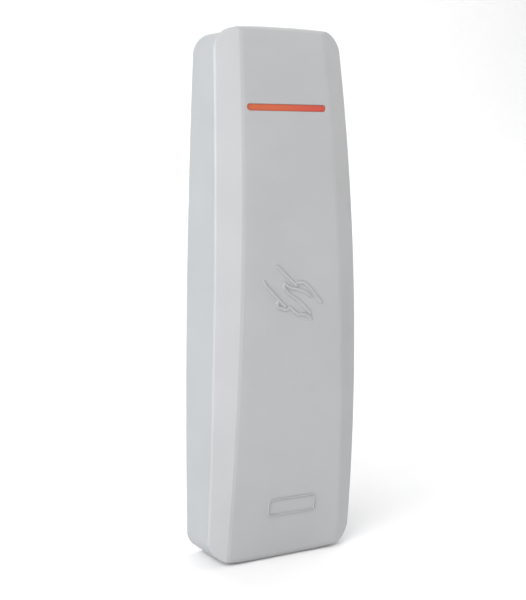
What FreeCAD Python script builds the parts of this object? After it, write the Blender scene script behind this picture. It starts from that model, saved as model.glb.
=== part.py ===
import FreeCAD, Part
import math
import os
import re
import Sketcher
from FreeCAD import Placement, Rotation, Vector

# A slim proximity card reader for a door frame. Millimetres; +Z is up, the front faces -Y, and the wall
# face of the rear housing is the plane y = 0. Depths below are measured forward from that plane, so a
# depth of 10 is y = -10. The side walls, the parting line and the front all bow along the height, so each
# is given by three values: at the top (z = half_height), in the middle (z = 0) and low (z = -half_height).
DIMENSIONS = {
    "half_height": 75.0, "through": 12.0, "beyond": 80.0, "overlap": 0.5, "slack": 0.1,
    "side_top": 19.3, "side_mid": 22.2, "side_low": 22.8, "parting_top": 12.9, "parting_mid": 18.25,
    "parting_low": 14.2, "face_top": 13.2, "face_mid": 16.0, "face_low": 18.4, "front_top": 16.51,
    "front_mid": 22.32, "front_low": 17.61,
    # shells
    "wall": 2.2, "skin": 1.9, "prism_length": 40.0, "facet_skin": 0.6, "parting_gap": 0.3,
    "cover_lip": 0.9, "outline_margin": 0.05, "edge_straight": 0.15, "edge_radius": 0.8,
    "soft_edge": 0.5, "housing_z_top": 74.3, "housing_z_low": -76.2,
    "housing_sag": 0.5, "housing_corner_top": 6.6, "housing_corner_low": 5.8, "cover_z_top": 75.5,
    "cover_z_low": -76.9, "cover_sag_top": 1.1, "cover_sag_low": 2.0, "cover_corner_top": 7.2,
    "cover_corner_low": 7.4, "rim_top": 2.2, "rim_low": 2.6, "floor_thickness": 2.8, "skirt_gap": 0.3,
    "skirt_thickness": 1.2, "skirt_depth": 2.0, "relief_height": 0.3, "line_width": 0.85,
    "mark_length": 30.0, "plate_x": 1.5, "plate_z": -61.0, "plate_half_x": 7.9, "plate_half_z": 2.6,
    "plate_line": 0.5, "plate_corner": 1.2,
    # light bar
    "bar_z": 53.1, "bar_half_x": 12.8, "bar_half_z": 0.95, "bar_recess": 0.35, "guide_rim": 1.0,
    "guide_rim_thickness": 1.0, "guide_rear": 13.6,
    # wall screws, cable
    "wall_hole_top": 66.5, "wall_hole_low": -62.5, "wall_hole_radius": 2.1, "wall_boss_radius": 5.0,
    "wall_boss_height": 1.2, "cable_z": -22.0, "cable_radius": 3.25, "grommet_neck": 5.4,
    "grommet_flange": 7.0, "grommet_recess": 1.2, "grommet_inner": 1.4, "grommet_sunk": 0.2,
    "grommet_lip": 6.4, "grommet_taper": 0.4, "fit_gap": 0.05,
    # circuit board
    "board_half_x": 17.0, "board_top": 59.0, "board_low": -55.0, "board_rear": 9.4,
    "board_front": 11.0, "board_corner": 2.0, "board_cable_hole": 5.6, "screw_x": 13.8,
    "screw_z_top": 45.5, "screw_z_low": -50.0, "screw_radius": 1.2, "screw_head": 2.25,
    "screw_head_height": 1.5, "drive_depth": 0.675, "screw_length": 7.0, "screw_end": 0.8,
    "screw_fit": 0.05, "screw_hole_gap": 0.2, "drive_reach": 1.3, "drive_half": 0.28,
    "post_radius": 3.0,
    # antenna
    "coil_half_x": 15.6, "coil_top": 40.5, "coil_low": -9.5, "coil_wall": 0.7, "coil_flange": 0.7,
    "coil_width": 1.8, "coil_height": 2.8, "coil_corner": 3.0,
    # lights
    "baffle_half_x": 13.4, "baffle_half_z": 2.4, "baffle_height": 2.0, "led_pitch": 5.2,
    "led_half_x": 1.0, "led_half_z": 0.65, "led_height": 0.8, "led_lens_share": 0.7,
    "cell_share": 0.42, "cell_height_share": 0.7,
    # chips, crystal, cans, buzzer
    "lead_thickness": 0.3, "crystal_z": 2.2, "crystal_half": 2.1, "crystal_height": 3.4,
    "flange_rim": 0.3, "flange_thickness": 0.4, "chip_lift": 0.05, "can_x": 11.4, "can_rise": 2.0,
    "can_radius": 3.1, "can_groove": 0.25, "can_base_half": 3.2, "can_base_height": 0.6,
    "can_height": 5.7, "can_rim": 0.4, "buzzer_z": 29.0, "buzzer_radius": 5.8, "buzzer_height": 5.3,
    "buzzer_mouth": 0.9, "buzzer_disc": 3.0,
    # terminals
    "terminal_half_x": 10.5, "terminal_low": -43.4, "terminal_top": -35.6, "terminal_height": 6.6,
    "terminal_pitch": 3.5, "terminal_screw_radius": 1.1, "terminal_step": 4.9, "terminal_step_z": 2.2,
    "terminal_screw_drop": 1.0, "mouth_half": 1.2, "mouth_rear": 0.9, "mouth_front": 3.5,
    "mouth_reach": 3.0, "well_gap": 0.15, "clamp_rear": 3.9, "clamp_height": 1.7,
    "clamp_slot_depth": 0.6, "clamp_slot_half": 0.22,
    # header
    "header_z": -49.6, "header_pitch": 2.54, "header_base": 2.5, "pin_half": 0.32, "pin_height": 6.0,
    "jumper_half_x": 1.2, "jumper_half_z": 2.4, "jumper_height": 4.3,
    # lock at the bottom
    "lock_depth": 7.4, "lock_radius": 1.5, "lock_clearance": 0.07, "lock_head_radius": 2.7,
    "lock_head_height": 1.55, "lock_head_recess": 1.4, "lock_top": -67.4, "tab_half_x": 4.4,
    "tab_gap": 0.1, "tab_thickness": 1.9, "tab_rear": 4.6, "notch_half": 1.8, "notch_height": 20.0,
    "nut_half": 2.75, "nut_height": 1.8, "nut_gap": 0.05, "nut_side_gap": 0.25, "cage_wall": 1.6,
    "cage_height": 2.8, "cage_gap": 0.25, "lock_head_gap": 0.25, "socket_depth": 1.1,
    "socket_radius": 1.2,
    # hooks at the top
    "pivot_depth": 9.85, "pivot_z": 73.2, "pivot_clearance": 0.07, "bead_radius": 0.9,
    "neck_width": 0.75, "hook_x": 9.0, "hook_half_x": 3.0, "hook_drop": 2.75, "hook_thickness": 1.5,
    "hook_gap": 0.3,
    # tamper contact
    "tamper_z": 22.0, "tamper_radius": 2.5, "tamper_clearance": 0.05, "tamper_flange": 5.6,
    "tamper_flange_rear": 4.3, "tamper_flange_front": 5.2, "tamper_nose": 1.2, "tamper_tip": 5.5,
    "tamper_bevel": 0.3, "switch_half": 3.0, "switch_rear": 6.1, "button_radius": 1.6,
    "button_rear": 5.55, "button_gap": 0.06, "button_hidden": 0.8, "well_depth": 1.2,
    "spring_radius": 4.95, "spring_wire": 0.22, "spring_turns": 3.0,
}

STATIONS = (-1.12, -0.56, 0.0, 0.56, 1.12)    # where the lofts have sections, in half heights
OUTLINE_TANGENT = 0.86           # where the outline's straight sides touch the bowed side walls
EDGE_ANGLES = (71, 47, 23, 0)    # degrees round the cover's side edge, from the facet to the side
FACET_SLOPE = 0.33               # how much a facet falls back for each millimetre outwards

doc = FreeCAD.newDocument("card_reader")
sheet = doc.addObject("Spreadsheet::Sheet", "Dims")
scratch = doc.addObject("Spreadsheet::Sheet", "Scratch")
sub_parts = []


def fill_sheet():
    for row, (name, size) in enumerate(DIMENSIONS.items(), 1):
        sheet.set(f"A{row}", name)
        sheet.set(f"B{row}", str(size))
        sheet.setAlias(f"B{row}", name)
    doc.recompute()


def bound(formula):
    """The formula with each dimension's name pointing at its cell."""
    return re.sub(r"[a-z_]+", lambda m: "Dims." + m[0] if m[0] in DIMENSIONS else m[0], formula)


def bind(item, prop, formula):
    item.setExpression(prop, bound(formula))


def number(formula):
    """The formula's value, worked out in a sheet of its own so that nothing else is touched."""
    scratch.set("A1", "=" + bound(formula))
    scratch.recompute()
    return float(scratch.get("A1"))


def bow(name, t):
    """A bowed dimension at height t * half_height: the parabola through its three values."""
    slope = f"({name}_top - {name}_low) / 2 * ({t})"
    curve = f"(({name}_top + {name}_low) / 2 - {name}_mid) * ({t}) * ({t})"
    return f"({name}_mid + {slope} + {curve})"


def finished(item, label):
    """Registers a finished sub-part under the name of its node."""
    item.Label = label
    sub_parts.append(item)
    return item


# ---- sketches ----------------------------------------------------------------------------------------

def sketch_on(body, name, plane, offset="0"):
    sketch = body.newObject("Sketcher::SketchObject", name)
    support = [feature for feature in body.Origin.OriginFeatures if feature.Role == plane][0]
    sketch.AttachmentSupport = (support, [""])
    sketch.MapMode = "FlatFace"
    bind(sketch, "AttachmentOffset.Base.z", offset)
    return sketch


def constrain(sketch, constraint, formula):
    index = sketch.addConstraint(constraint)
    sketch.setExpression(f"Constraints[{index}]", bound(formula))


def place_point(sketch, edge, corner):
    """Ties an edge's first point to the sketch's origin by two driving distances."""
    for kind, formula in zip(("DistanceX", "DistanceY"), corner):
        constrain(sketch, Sketcher.Constraint(kind, -1, 1, edge, 1, number(formula)), formula)


def polygon(sketch, corners, sags=None):
    """A closed counter-clockwise outline through corners. sags gives, for an edge by its number, how far
    the middle of that level edge bows out, which makes it an arc."""
    sags = sags or {}
    points = [Vector(number(x), number(y), 0) for x, y in corners]
    edges = []
    for i, start in enumerate(points):
        end = points[(i + 1) % len(points)]
        if i in sags:
            outward = 1 if end.x > start.x else -1
            middle = (start + end) / 2 - Vector(0, outward * number(sags[i]), 0)
            edges.append(sketch.addGeometry(Part.Arc(start, middle, end)))
        else:
            edges.append(sketch.addGeometry(Part.LineSegment(start, end)))
    for i, edge in enumerate(edges):
        following = edges[(i + 1) % len(edges)]
        sketch.addConstraint(Sketcher.Constraint("Coincident", edge, 2, following, 1))
        place_point(sketch, edge, corners[i])
    for i, sag in sags.items():
        chord = f"(({corners[i][0]}) - ({corners[(i + 1) % len(corners)][0]}))"
        radius = f"({chord} * {chord} / 4 + ({sag}) * ({sag})) / (2 * ({sag}))"
        constrain(sketch, Sketcher.Constraint("Radius", edges[i], number(radius)), radius)


def rectangle(sketch, x_low, x_high, y_low, y_high):
    polygon(sketch, [(x_low, y_low), (x_high, y_low), (x_high, y_high), (x_low, y_high)])


def circle(sketch, x, y, radius):
    edge = sketch.addGeometry(Part.Circle(Vector(number(x), number(y), 0), Vector(0, 0, 1), number(radius)))
    for kind, formula in (("DistanceX", x), ("DistanceY", y)):
        constrain(sketch, Sketcher.Constraint(kind, -1, 1, edge, 3, number(formula)), formula)
    constrain(sketch, Sketcher.Constraint("Radius", edge, number(radius)), radius)


# ---- features and solids -----------------------------------------------------------------------------

def new_body(name):
    return doc.addObject("PartDesign::Body", name)


def pad(body, sketch, length):
    feature = body.newObject("PartDesign::Pad", sketch.Name + "_pad")
    feature.Profile = sketch
    bind(feature, "Length", length)
    return feature


def round_edges(body, name, radius, chosen):
    """Rounds the edges of the body's last feature whose middle point passes the test."""
    doc.recompute()
    base = body.Tip
    names = []
    for i, edge in enumerate(base.Shape.Edges, 1):
        middle = edge.valueAt((edge.FirstParameter + edge.LastParameter) / 2)
        if chosen(edge, middle):
            names.append(f"Edge{i}")
    feature = body.newObject("PartDesign::Fillet", name)
    feature.Base = (base, names)
    bind(feature, "Radius", radius)
    return feature


def loft(name, section):
    """A body lofted through the polygons that section(t) gives at the stations along the height."""
    body = new_body(name)
    sketches = []
    for i, t in enumerate(STATIONS):
        sketch = sketch_on(body, f"{name}_section_{i}", "XY_Plane", f"half_height * ({t})")
        polygon(sketch, section(t))
        sketches.append(sketch)
    feature = body.newObject("PartDesign::AdditiveLoft", name + "_loft")
    feature.Profile = sketches[0]
    feature.Sections = sketches[1:]
    return body


def revolved(name, profile, centre, turn=None):
    """A body turned about its own Z axis from a half profile of (radius, height) corners."""
    body = new_body(name)
    sketch = sketch_on(body, name + "_profile", "XZ_Plane")
    polygon(sketch, profile)
    feature = body.newObject("PartDesign::Revolution", name + "_turned")
    feature.Profile = sketch
    feature.ReferenceAxis = (sketch, ["V_Axis"])
    feature.Angle = 360.0
    place(body, centre, turn)
    return body


def place(item, centre, turn=None):
    if turn:
        item.Placement = Placement(Vector(0, 0, 0), turn)
    for axis, formula in zip("xyz", centre):
        bind(item, f"Placement.Base.{axis}", formula)


def box(name, x, y, z):
    """A block between two formulas along each axis."""
    item = doc.addObject("Part::Box", name)
    for prop, (low, high) in zip(("Length", "Width", "Height"), (x, y, z)):
        bind(item, prop, f"({high}) - ({low})")
    place(item, (x[0], y[0], z[0]))
    return item


FORWARD = Rotation(Vector(1, 0, 0), 90)      # turns +Z to -Y
SIDEWAYS = Rotation(Vector(0, 1, 0), 90)     # turns +Z to +X


def rod(name, centre, radius, length, turn=FORWARD):
    """A cylinder that starts at centre and runs forward, or along +Z with no turn."""
    item = doc.addObject("Part::Cylinder", name)
    bind(item, "Radius", radius)
    bind(item, "Height", length)
    place(item, centre, turn)
    return item


def fuse(name, *pieces):
    item = doc.addObject("Part::MultiFuse", name)
    item.Shapes = list(pieces)
    return item


def common(name, base, tool):
    item = doc.addObject("Part::Common", name)
    item.Base = base
    item.Tool = tool
    return item


def cut(name, base, *tools):
    item = doc.addObject("Part::Cut", name)
    item.Base = base
    item.Tool = tools[0] if len(tools) == 1 else fuse(name + "_tools", *tools)
    return item


def group(name, pieces):
    item = doc.addObject("Part::Compound", name)
    item.Links = list(pieces)
    return item


def forward(low, high):
    """The y span of something between two depths."""
    return f"-({high})", f"-({low})"


# ---- bowed shells ------------------------------------------------------------------------------------

def outline(name, half, z_top, z_low, corner_top, corner_low, sags, rear="-5"):
    """A prism along y with the shell's front view: sides that follow the bow from just outside, level or
    crowned ends and round corners. half is what to add to the housing's side, rear the depth where the
    prism starts."""
    slope = "(side_top - side_low) / 2"
    curve = "((side_top + side_low) / 2 - side_mid)"
    middle = f"(side_mid - {curve} * {OUTLINE_TANGENT ** 2} + {half} + outline_margin)"
    top = f"({middle} + ({slope} + 2 * {curve} * {OUTLINE_TANGENT}) * ({z_top}) / half_height)"
    low = f"({middle} + ({slope} - 2 * {curve} * {OUTLINE_TANGENT}) * ({z_low}) / half_height)"
    body = new_body(name)
    sketch = sketch_on(body, name + "_sketch", "XZ_Plane", rear)
    low_corner = f"({z_low}) + ({sags.get('low', 0)})"
    top_corner = f"({z_top}) - ({sags.get('top', 0)})"
    corners = [("-" + low, low_corner), (low, low_corner), (middle, "0"), (top, top_corner),
               ("-" + top, top_corner), ("-" + middle, "0")]
    arcs = {edge: sags[side] for edge, side in ((0, "low"), (3, "top")) if side in sags}
    polygon(sketch, corners, arcs)
    pad(body, sketch, "prism_length")

    def corner_edge(sign):
        return lambda edge, at: edge.BoundBox.YLength > 30 and sign * at.z > 20
    round_edges(body, name + "_top_corners", corner_top, corner_edge(1))
    round_edges(body, name + "_low_corners", corner_low, corner_edge(-1))
    return body


def slab(half, low, high):
    """Sections of a plain block: half-width beyond the side, and its two depths, as formulas of t."""
    def section(t):
        side = f"({bow('side', t)} + {half})"
        return [("-" + side, f"-({high(t)})"), (side, f"-({high(t)})"), (side, f"-({low(t)})"),
                ("-" + side, f"-({low(t)})")]
    return section


def faceted(half, low, high, face, edge_radius=None):
    """Sections of the cover: a short straight side, a sloping facet and the flat front. With a radius, the
    side runs into the facet through a round edge and the facet's front edge is softened."""
    def section(t):
        side = f"({bow('side', t)} + {half})"
        if edge_radius is None:
            right = [(face(t), f"-({high(t)})"), (side, f"-({low(t)} + edge_straight)")]
        else:
            right = [(f"{face(t)} - soft_edge", f"-({high(t)})"),
                     (f"{face(t)} + soft_edge", f"-({high(t)} - soft_edge * {FACET_SLOPE})")]
            for angle in EDGE_ANGLES:
                inward = round(1 - math.cos(math.radians(angle)), 4)
                along = round(math.sin(math.radians(angle)), 4)
                right.append((f"{side} - {edge_radius} * {inward}",
                              f"-({low(t)} + edge_straight + {edge_radius} * {along})"))
        right.append((side, f"-({low(t)})"))
        return right + [(f"-({x})", y) for x, y in reversed(right)]
    return section


def depth(name, extra="0"):
    return lambda t: f"({bow(name, t)} + ({extra}))"


def constant(formula):
    return lambda t: f"({formula})"


def make_rear_housing():
    body = loft("housing_block", slab("0", constant("-1"), depth("parting", "-parting_gap / 2")))
    shape = outline("housing_outline", "0", "housing_z_top", "housing_z_low", "housing_corner_top",
                    "housing_corner_low", {"low": "housing_sag"}, "0")
    outer = common("housing_outer", body, shape)
    hollow_body = loft("housing_hollow_block", slab("-wall", constant("wall"), constant("30")))
    hollow_shape = outline("housing_hollow_outline", "-wall", "housing_z_top - wall",
                           "housing_z_low + floor_thickness", "housing_corner_top - wall",
                           "housing_corner_low - wall", {})
    hollow = common("housing_hollow", hollow_body, hollow_shape)
    shell = cut("housing_shell", outer, hollow)

    posts = [rod(f"post_{i}", (x, "-(wall - overlap)", z), "post_radius", "board_rear - wall + overlap")
             for i, (x, z) in enumerate(screw_places())]
    bosses = [rod(f"wall_boss_{i}", ("0", "-(wall - overlap)", z), "wall_boss_radius",
                  "wall_boss_height + overlap")
              for i, z in enumerate(("wall_hole_top", "wall_hole_low"))]
    cage = box("nut_cage", ("-(nut_half + nut_side_gap + cage_wall)", "nut_half + nut_side_gap + cage_wall"),
               forward("wall - overlap", "lock_depth + nut_half + nut_side_gap"),
               (cage_low(), cage_low() + " + cage_height"))
    solid = fuse("housing_solid", shell, cage, *posts, *bosses)

    holes = [rod(f"post_hole_{i}", (x, "-(board_rear - screw_length + screw_end)", z), "screw_radius",
                 "through")
             for i, (x, z) in enumerate(screw_places())]
    holes += [rod(f"wall_hole_{i}", ("0", "overlap", z), "wall_hole_radius", "through")
              for i, z in enumerate(("wall_hole_top", "wall_hole_low"))]
    holes.append(rod("cable_hole", ("0", "overlap", "cable_z"), "grommet_neck", "through"))
    holes.append(rod("cable_recess", ("0", "overlap", "cable_z"), "grommet_flange + fit_gap",
                     "overlap + grommet_recess"))
    holes.append(rod("tamper_hole", ("0", "overlap", "tamper_z"), "tamper_radius + tamper_clearance",
                     "through"))
    holes.append(rod("lock_hole", ("0", "-lock_depth", "-beyond"), "lock_radius + lock_clearance", "through",
                     Rotation()))
    holes.append(rod("lock_head_hole", ("0", "-lock_depth", "-beyond"), "lock_head_radius + lock_head_gap",
                     "beyond + housing_z_low + lock_head_recess", Rotation()))
    side = "nut_half + nut_side_gap"
    holes.append(box("nut_pocket", (f"-({side})", side),
                     forward(f"lock_depth - ({side})", "lock_depth + through"),
                     (cage_low() + " - overlap", cage_low() + " + cage_height + overlap")))
    for side, sign in (("left", "-"), ("right", "")):
        holes.append(box("hook_slot_" + side,
                         (f"({sign}hook_x) - hook_half_x - hook_gap",
                          f"({sign}hook_x) + hook_half_x + hook_gap"),
                         forward("pivot_depth - bead_radius - pivot_clearance",
                                 "pivot_depth + bead_radius + pivot_clearance"),
                         ("housing_z_top - wall - overlap", "housing_z_top + overlap")))
    finished(cut("rear_housing", solid, *holes), "rear_housing")


def screw_places():
    return [(x, z) for z in ("screw_z_top", "screw_z_low") for x in ("-screw_x", "screw_x")]


def tab_low():
    return "(housing_z_low + floor_thickness + tab_gap)"


def nut_low():
    return f"({tab_low()} + tab_thickness + nut_gap)"


def cage_low():
    return f"({tab_low()} + tab_thickness + cage_gap)"


def stroke(name, start, end):
    """One raised line of the pictogram, between two places on the front, with a round start."""
    (x0, z0), (x1, z1) = start, end
    length = math.hypot(x1 - x0, z1 - z0)
    bar = doc.addObject("Part::Box", name)
    bar.Length = length
    bar.Width = number("mark_length")
    bind(bar, "Height", "line_width")
    turn = Rotation(Vector(0, 1, 0), -math.degrees(math.atan2(z1 - z0, x1 - x0)))
    corner = turn.multVec(Vector(0, 0, -number("line_width") / 2))
    bar.Placement = Placement(Vector(x0 + corner.x, -number("mark_length + 2"), z0 + corner.z), turn)
    tip = rod(name + "_tip", (str(x1), "-2", str(z1)), "line_width / 2", "mark_length")
    return [bar, tip]


def strokes(name, points):
    pieces = [rod(name + "_start", (str(points[0][0]), "-2", str(points[0][1])), "line_width / 2",
                  "mark_length")]
    for i in range(len(points) - 1):
        pieces += stroke(f"{name}_{i}", points[i], points[i + 1])
    return pieces


def make_blank_plate():
    """The outline of a small blank plate low on the front, a prism along y."""
    frames = []
    for name, inset, corner in (("plate_outside", "0", "plate_corner"),
                                ("plate_inside", "plate_line", "plate_corner - plate_line")):
        body = new_body(name)
        sketch = sketch_on(body, name + "_sketch", "XZ_Plane", "2")
        rectangle(sketch, f"plate_x - plate_half_x + {inset}", f"plate_x + plate_half_x - {inset}",
                  f"plate_z - plate_half_z + {inset}", f"plate_z + plate_half_z - {inset}")
        pad(body, sketch, "mark_length")
        round_edges(body, name + "_corners", corner, lambda edge, at: edge.BoundBox.YLength > 20)
        frames.append(body)
    return cut("blank_plate", *frames)


# The pictogram: a card held out in one hand. Millimetres on the front, (x, z).
CARD_UPPER = [(-4.9, 9.0), (1.1, 3.5)]
CARD_LOWER = [(-9.1, 4.9), (-8.7, 3.9), (-4.4, -0.5), (-2.5, -2.3)]
HAND_BACK = [(1.2, 4.2), (2.6, 4.3), (3.9, 4.1), (5.4, 2.8), (9.2, -1.6)]
THUMB_UPPER = [(-2.5, 4.2), (-1.7, 3.4), (-0.4, 2.8), (1.6, 2.4), (3.8, 1.6), (5.8, 0.2)]
THUMB_LOWER = [(-2.5, 4.2), (-2.9, 3.6), (-2.7, 2.7), (-1.3, 1.2), (0.6, 0.0), (2.2, -1.1), (4.2, -3.2),
               (5.8, -4.6)]
FINGERTIPS = [(-4.6, -0.7), (-5.1, -1.6), (-4.7, -2.6), (-3.7, -2.6), (-3.0, -3.2), (-1.9, -3.2),
              (-0.9, -2.6), (0.4, -3.9), (1.9, -4.9), (3.4, -4.8), (4.5, -5.1), (6.0, -6.3)]
PICTOGRAM = {"card_upper": CARD_UPPER, "card_lower": CARD_LOWER, "hand_back": HAND_BACK,
             "thumb_upper": THUMB_UPPER, "thumb_lower": THUMB_LOWER, "fingertips": FINGERTIPS}


def make_front_cover():
    body = loft("cover_block", faceted("cover_lip", depth("parting", "parting_gap / 2"), depth("front"),
                                       depth("face"), "edge_radius"))
    shape = outline("cover_outline", "cover_lip", "cover_z_top", "cover_z_low", "cover_corner_top",
                    "cover_corner_low", {"low": "cover_sag_low", "top": "cover_sag_top"})
    outer = common("cover_outer", body, shape)

    inner = outline("cover_hollow_outline", "-wall", "housing_z_top - wall",
                    "housing_z_low + floor_thickness", "housing_corner_top - wall",
                    "housing_corner_low - wall", {})
    hollow_body = loft("cover_hollow_block",
                       faceted("-wall", depth("parting", "-slack"), depth("front", "-skin"),
                               depth("face", "-facet_skin")))
    hollow = common("cover_hollow", hollow_body, inner)

    skirt_side = "-(wall + skirt_gap)"
    skirt_shape = outline("skirt_outline", skirt_side, "pivot_z - hook_drop",
                          "housing_z_low + floor_thickness + skirt_gap",
                          "housing_corner_top - wall - skirt_gap",
                          "housing_corner_low - wall - skirt_gap", {})
    skirt_body = loft("skirt_block", slab(skirt_side, depth("parting", "-skirt_depth"),
                                          depth("parting", "2 * overlap")))
    inset = "(wall + skirt_gap + skirt_thickness)"
    void_shape = outline("skirt_void_outline", f"-{inset}", "pivot_z - hook_drop - skirt_thickness",
                         "housing_z_low + floor_thickness + skirt_gap + skirt_thickness",
                         f"housing_corner_top - {inset}", f"housing_corner_low - {inset}", {})
    void_body = loft("skirt_void_block", slab(f"-{inset}", constant("0"), constant("40")))
    skirt = cut("skirt", common("skirt_outer", skirt_body, skirt_shape),
                common("skirt_void", void_body, void_shape))

    tab = box("lock_tab", ("-tab_half_x", "tab_half_x"), forward("tab_rear", "front_low - 1"),
              (tab_low(), f"{tab_low()} + tab_thickness"))
    hooks = []
    for side, sign in (("left", "-"), ("right", "")):
        low, high = f"({sign}hook_x) - hook_half_x", f"({sign}hook_x) + hook_half_x"
        arm_top = "pivot_z - hook_drop"
        hooks.append(box("hook_arm_" + side, (low, high),
                         forward("pivot_depth - neck_width", "front_top - 2 * overlap"),
                         (arm_top + " - hook_thickness", arm_top)))
        hooks.append(box("hook_neck_" + side, (low, high),
                         forward("pivot_depth - neck_width", "pivot_depth"),
                         (arm_top + " - hook_thickness", "pivot_z")))
        hooks.append(rod("hook_bead_" + side, (low, "-pivot_depth", "pivot_z"), "bead_radius",
                         "2 * hook_half_x", SIDEWAYS))
    relief_body = loft("relief_block", slab("-wall", depth("front", "-skin / 2"),
                                            depth("front", "relief_height")))
    lines = [piece for name, points in PICTOGRAM.items() for piece in strokes(name, points)]
    picture = fuse("picture_lines", *lines)
    relief = common("relief", relief_body, fuse("raised_marks", picture, make_blank_plate()))
    shell = cut("cover_shell", outer, hollow, rim_cutter("rim_cutter_top", "cover_z_top", "rim_top", ""),
                rim_cutter("rim_cutter_low", "cover_z_low", "rim_low", "-"))
    solid = fuse("cover_solid", shell, skirt, tab, *hooks, relief)

    notch = [rod("notch_round", ("0", "-lock_depth", "-beyond"), "notch_half", "notch_height", Rotation()),
             box("notch_slot", ("-notch_half", "notch_half"), forward("0", "lock_depth"),
                 ("-beyond", "-beyond + notch_height"))]
    slot = light_slot("light_slot", "0", "-2", "30")
    seat = light_slot("light_seat", "guide_rim + slack", "-2", guide_shoulder() + " - 2")
    finished(cut("front_cover", solid, slot, seat, *notch), "front_cover")


def rim_cutter(name, end, radius, sign):
    """What rounding the front rim takes off one end of the cover: a block less a rod across it, which
    meets the sloping front without a crease. sign is '' for the top and '-' for the bottom."""
    rim_slope = 0.14
    centre = f"(({end}) - ({sign}{radius}))"
    rim_depth = f"({bow('front', f'({centre} / half_height)')} - {radius} * {1 + rim_slope ** 2 / 2})"
    spans = sorted((f"{centre} + ({sign}{radius}) * {rim_slope}", f"{centre} + ({sign}through)"),
                   key=number)
    corner = box(name + "_corner", ("-prism_length", "prism_length"),
                 forward(rim_depth, f"{rim_depth} + through"), spans)
    roller = rod(name + "_roller", ("-prism_length - overlap", f"-{rim_depth}", centre), radius,
                 "2 * (prism_length + overlap)", SIDEWAYS)
    return cut(name, corner, roller)


def guide_shoulder():
    """Depth of the shoulder where the light guide's rim rests inside the cover."""
    return f"({bow('front', '(bar_z / half_height)')} - skin + 0.5)"


def light_slot(name, extra, start, length):
    """A block with round ends around the light bar's axis, from y = start forward."""
    half = f"(bar_half_z + {extra})"
    middle = box(name + "_middle", ("-(bar_half_x - bar_half_z)", "bar_half_x - bar_half_z"),
                 (f"{start} - ({length})", start), (f"bar_z - {half}", f"bar_z + {half}"))
    ends = [rod(f"{name}_{side}", (f"{sign}(bar_half_x - bar_half_z)", start, "bar_z"), half, length)
            for side, sign in (("left", "-"), ("right", ""))]
    return fuse(name, middle, *ends)


# ---- light bar ---------------------------------------------------------------------------------------

def make_light_guide():
    """The bar seen on the front, a rim that rests inside the cover and a stem back to the lights."""
    front = f"({bow('front', '(bar_z / half_height)')} - bar_recess)"
    bar = light_slot("guide_bar", "-fit_gap", f"-({guide_shoulder()})", f"{front} - {guide_shoulder()}")
    rim = light_slot("guide_rim", "guide_rim", f"-({guide_shoulder()} - guide_rim_thickness)",
                     "guide_rim_thickness")
    stem = box("guide_stem", ("-(bar_half_x - bar_half_z)", "bar_half_x - bar_half_z"),
               forward("guide_rear", guide_shoulder()), ("bar_z - bar_half_z", "bar_z + bar_half_z"))
    finished(fuse("light_guide", bar, rim, stem), "light_guide")


def led_places():
    return [f"({i} * led_pitch)" for i in (-2, -1, 0, 1, 2)]


def make_lights():
    leds = []
    for i, x in enumerate(led_places()):
        base = box(f"led_base_{i}", (f"{x} - led_half_x", f"{x} + led_half_x"),
                   forward("board_front", "board_front + led_height / 2"),
                   ("bar_z - led_half_z", "bar_z + led_half_z"))
        lens = box(f"led_lens_{i}",
                   (f"{x} - led_half_x * led_lens_share", f"{x} + led_half_x * led_lens_share"),
                   forward("board_front + led_height / 2", "board_front + led_height"),
                   ("bar_z - led_half_z", "bar_z + led_half_z"))
        leds.append(fuse(f"led_{i}", base, lens))
    finished(group("status_leds", leds), "status_leds")

    block = box("baffle_block", ("-baffle_half_x", "baffle_half_x"),
                forward("board_front", "board_front + baffle_height"),
                ("bar_z - baffle_half_z", "bar_z + baffle_half_z"))
    cells = [box(f"baffle_cell_{i}", (f"{x} - led_pitch * cell_share", f"{x} + led_pitch * cell_share"),
                 forward("board_front - overlap", "board_front + baffle_height + overlap"),
                 ("bar_z - baffle_half_z * cell_height_share", "bar_z + baffle_half_z * cell_height_share"))
             for i, x in enumerate(led_places())]
    finished(cut("led_baffle", block, *cells), "led_baffle")


# ---- circuit board and what is on it -----------------------------------------------------------------

def make_main_board():
    body = new_body("board_blank")
    sketch = sketch_on(body, "board_outline", "XZ_Plane", "board_rear")
    rectangle(sketch, "-board_half_x", "board_half_x", "board_low", "board_top")
    pad(body, sketch, "board_front - board_rear")
    round_edges(body, "board_corners", "board_corner",
                lambda edge, at: edge.BoundBox.YLength > 1)
    holes = [rod(f"board_hole_{i}", (x, "-(board_rear - overlap)", z), "screw_radius + screw_hole_gap",
                 "through")
             for i, (x, z) in enumerate(screw_places())]
    holes.append(rod("board_cable_hole", ("0", "-(board_rear - overlap)", "cable_z"), "board_cable_hole",
                     "through"))
    finished(cut("main_board", body, *holes), "main_board")


def make_board_screws():
    screws = []
    for i, (x, z) in enumerate(screw_places()):
        shank = rod(f"screw_shank_{i}", (x, "-(board_front - screw_length + screw_end)", z),
                    "screw_radius - screw_fit", "screw_length - screw_end")
        head = rod(f"screw_head_{i}", (x, "-board_front", z), "screw_head", "screw_head_height")
        drive = [box(f"screw_slot_{turn}_{i}", (f"{x} - {wide}", f"{x} + {wide}"),
                     forward("board_front + drive_depth", "board_front + screw_head_height + overlap"),
                     (f"{z} - {high}", f"{z} + {high}"))
                 for turn, wide, high in (("across", "drive_reach", "drive_half"),
                                         ("along", "drive_half", "drive_reach"))]
        screws.append(cut(f"screw_{i}", fuse(f"screw_solid_{i}", shank, head), *drive))
    finished(group("board_screws", screws), "board_screws")


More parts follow.
